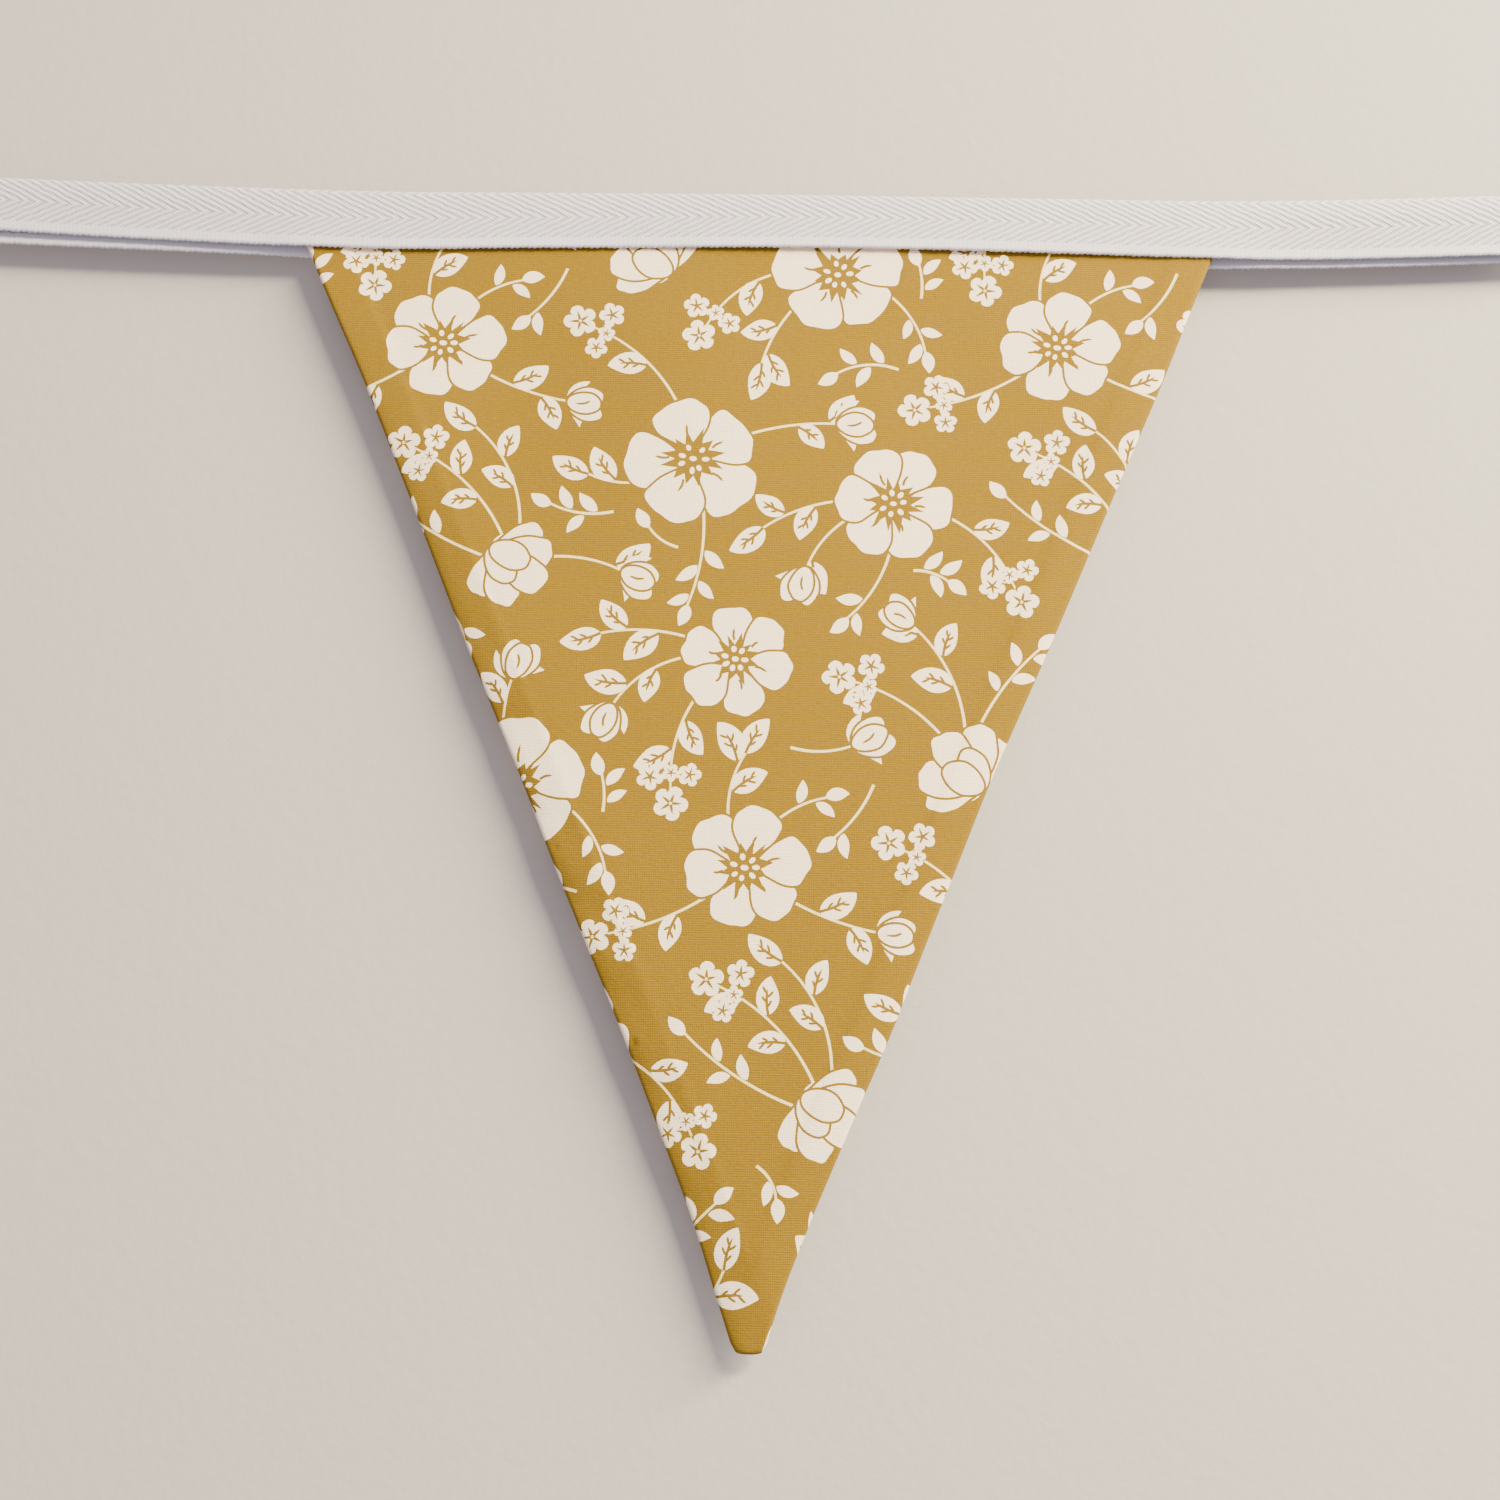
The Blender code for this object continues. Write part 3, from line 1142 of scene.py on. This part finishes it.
def herringbone_cotton():
    material, tree, shader = new_material("herringbone cotton tape", 0.8, 0.15)
    flat = own_uv(tree, "tape")
    split = tree.nodes.new("ShaderNodeSeparateXYZ")
    tree.links.new(flat, split.inputs[0])
    run = sums(tree, "MULTIPLY", split.outputs[0], 1000.0)
    across = sums(tree, "MULTIPLY", split.outputs[1], 1000.0)
    inner = sums(tree, "SUBTRACT", across, SELVEDGE)
    zigzag = sums(tree, "PINGPONG", sums(tree, "ADD", inner, ZONE - FIRST_ZONE), ZONE)
    drift = noise(tree, flat, (1, 1, 1), 400.0, 2.0)
    phase = sums(tree, "MULTIPLY_ADD", zigzag, -RIB_RUN, run)
    phase = sums(tree, "MULTIPLY_ADD", drift, 1.3, phase)
    rib = sums(tree, "SINE", sums(tree, "MULTIPLY", phase, 2 * math.pi / RIB_PITCH))
    thread = sums(tree, "SINE", sums(tree, "MULTIPLY", across, 2 * math.pi / THREAD_PITCH))
    cross = sums(tree, "SINE", sums(tree, "MULTIPLY", run, 2 * math.pi / CROSS_PITCH))
    broken = sums(tree, "MULTIPLY", thread, cross)
    uneven = noise(tree, flat, (1, 1, 1), 900.0, 2.0, 0.6)
    ribs = sums(tree, "MULTIPLY", rib, sums(tree, "MULTIPLY_ADD", uneven, 2.2, -0.1))
    ribs = sums(tree, "MULTIPLY_ADD", broken, 0.55, ribs)
    past_first = sums(tree, "GREATER_THAN", inner, 0.0)
    before_last = sums(tree, "LESS_THAN", across, TAPE_WIDTH - FAR_SELVEDGE)
    inside = sums(tree, "MULTIPLY", past_first, before_last)
    plain = sums(tree, "MULTIPLY_ADD", cross, 0.12, 0.75)
    woven = tree.nodes.new("ShaderNodeMix")
    tree.links.new(inside, woven.inputs[0])
    tree.links.new(plain, woven.inputs[2])
    tree.links.new(ribs, woven.inputs[3])
    fuzz = noise(tree, flat, (1, 1, 1), 3500.0, 2.0)
    height = sums(tree, "MULTIPLY_ADD", fuzz, 0.9, woven.outputs[0])
    # The colour follows the height: painted shade in the grooves and painted light on the crests,
    # on top of the bump.
    tone = sums(tree, "MULTIPLY_ADD", height, 0.34, 0.34)
    colour = blend(tree, tone, TAPE_SHADED_GROOVE, TAPE_LIT_CREST)
    tree.links.new(colour, shader.inputs["Base Color"])
    add_bump(tree, shader, height, 0.00005)
    return material


tape = make_tape(herringbone_cotton())
print("the tape:", len(tape.data.polygons), "faces before its thickness")


# %% [markdown]
# ## Stage, light and camera
#
# A painted wall stands a few millimetres behind the cloth, because the soft shadow on it says
# how the pennant hangs. It shows only its front, so that the pennant can be looked at from
# behind too. The key light comes from the right and a little above, wide and low. A weaker one
# behind the wall lights only the rear panel. The rest is an even pale surround. The camera
# stands a little low and looks up.

# %% Wall and floor
WALL = 5.2
WALL_LEAN = 0.008
FLOOR = -360.0


def stage_sheet(name, width, height, place, turn, material):
    bm = bmesh.new()
    bmesh.ops.create_grid(bm, x_segments=1, y_segments=1, size=0.5)
    for vert in bm.verts:
        vert.co = Vector((vert.co.x * width, vert.co.y * height, 0.0)) * MM
        if turn:
            vert.co = Vector((vert.co.x, 0.0, vert.co.y))
        vert.co += Vector(place) * MM
        if turn:
            vert.co.y -= vert.co.z * WALL_LEAN
    bmesh.ops.recalc_face_normals(bm, faces=bm.faces[:])
    for face in bm.faces:
        facing = -face.normal.y if turn else face.normal.z
        if facing < 0:
            face.normal_flip()
    mesh = bpy.data.meshes.new(name)
    bm.to_mesh(mesh)
    bm.free()
    mesh.materials.append(material)
    sheet = bpy.data.objects.new(name, mesh)
    bpy.context.scene.collection.objects.link(sheet)
    return sheet


def wall_paint():
    material, tree, shader = new_material("painted wall", 0.9, 0.0)
    shader.inputs["Base Color"].default_value = (0.445, 0.396, 0.355, 1.0)
    place = tree.nodes.new("ShaderNodeTexCoord").outputs["Object"]
    grain = noise(tree, place, (1, 1, 1), 420.0, 4.0, 0.6)
    add_bump(tree, shader, grain, 0.00022, 0.5)
    geometry = tree.nodes.new("ShaderNodeNewGeometry")
    clear = tree.nodes.new("ShaderNodeBsdfTransparent")
    either = tree.nodes.new("ShaderNodeMixShader")
    tree.links.new(geometry.outputs["Backfacing"], either.inputs[0])
    tree.links.new(shader.outputs[0], either.inputs[1])
    tree.links.new(clear.outputs[0], either.inputs[2])
    out = next(node for node in tree.nodes if node.type == "OUTPUT_MATERIAL")
    tree.links.new(either.outputs[0], out.inputs["Surface"])
    return material


def floor_paint():
    material, _, shader = new_material("pale floor", 0.7, 0.0)
    shader.inputs["Base Color"].default_value = (0.66, 0.64, 0.62, 1.0)
    return material


wall = stage_sheet("wall", 900, 800, (0, WALL, FLOOR + 400), True, wall_paint())
wall.visible_diffuse = False
wall.visible_glossy = False
wall.visible_shadow = False
floor = stage_sheet("floor", 3000, 3000, (0, 0, FLOOR), False, floor_paint())
floor.visible_diffuse = False

# %% Light and camera
KEY_AZIMUTH = 52.0
KEY_HEIGHT = 30.0
KEY_DISTANCE = 0.9
KEY_POWER = 55.0
BACK_POWER = 7.0
SURROUND = 0.92
BEHIND = 0.22
CAMERA_PITCH = 11.0
CAMERA_DISTANCE = 341.0
VIEW_CENTRE = (0.0, 0.0, -105.0)


def aim(item, target):
    item.rotation_euler = (Vector(target) - item.location).to_track_quat("-Z", "Y").to_euler()


azimuth, lift = math.radians(KEY_AZIMUTH), math.radians(KEY_HEIGHT)
key_way = (math.sin(azimuth) * math.cos(lift), -math.cos(azimuth) * math.cos(lift), math.sin(lift))
key_place = Vector(key_way) * KEY_DISTANCE + Vector((0, 0, -0.1))
#   name, place, aimed at, size, power, colour
for name, place, target, size, power, colour in (
    ("key light", key_place, (0, 0, -0.8), (0.8, 0.18), KEY_POWER, (1.0, 0.92, 0.68)),
    ("back fill", (-0.15, 0.95, -0.05), (0, 0, -0.1), (0.7, 0.7), BACK_POWER, (1.0, 0.94, 0.82)),
):
    lamp = bpy.data.objects.new(name, bpy.data.lights.new(name, "AREA"))
    lamp.data.shape = "RECTANGLE"
    lamp.data.size, lamp.data.size_y = size
    lamp.data.energy = power
    lamp.data.color = colour
    lamp.location = place
    aim(lamp, target)
    lamp.visible_camera = False
    bpy.context.scene.collection.objects.link(lamp)

surround = bpy.data.worlds.new("pale surround")
surround.use_nodes = True
sky = surround.node_tree
towards = sky.nodes.new("ShaderNodeSeparateXYZ")
sky.links.new(sky.nodes.new("ShaderNodeTexCoord").outputs["Generated"], towards.inputs[0])
glow = sky.nodes.new("ShaderNodeMapRange")
sky.links.new(towards.outputs["Y"], glow.inputs["Value"])
for socket, value in (
    ("From Min", -0.1),
    ("From Max", 0.3),
    ("To Min", SURROUND),
    ("To Max", BEHIND),
):
    glow.inputs[socket].default_value = value
sky.nodes["Background"].inputs["Color"].default_value = (0.985, 0.968, 1.155, 1.0)
sky.links.new(glow.outputs[0], sky.nodes["Background"].inputs["Strength"])
bpy.context.scene.world = surround

pitch = math.radians(CAMERA_PITCH)
camera = bpy.data.objects.new("camera", bpy.data.cameras.new("camera"))
camera.data.sensor_width = 36.0
camera.data.lens = 46.656
camera.data.clip_start = 0.01
camera.location = (
    Vector(VIEW_CENTRE) - Vector((0, math.cos(pitch), math.sin(pitch))) * CAMERA_DISTANCE
) * MM
aim(camera, Vector(VIEW_CENTRE) * MM)
bpy.context.scene.collection.objects.link(camera)
bpy.context.scene.camera = camera
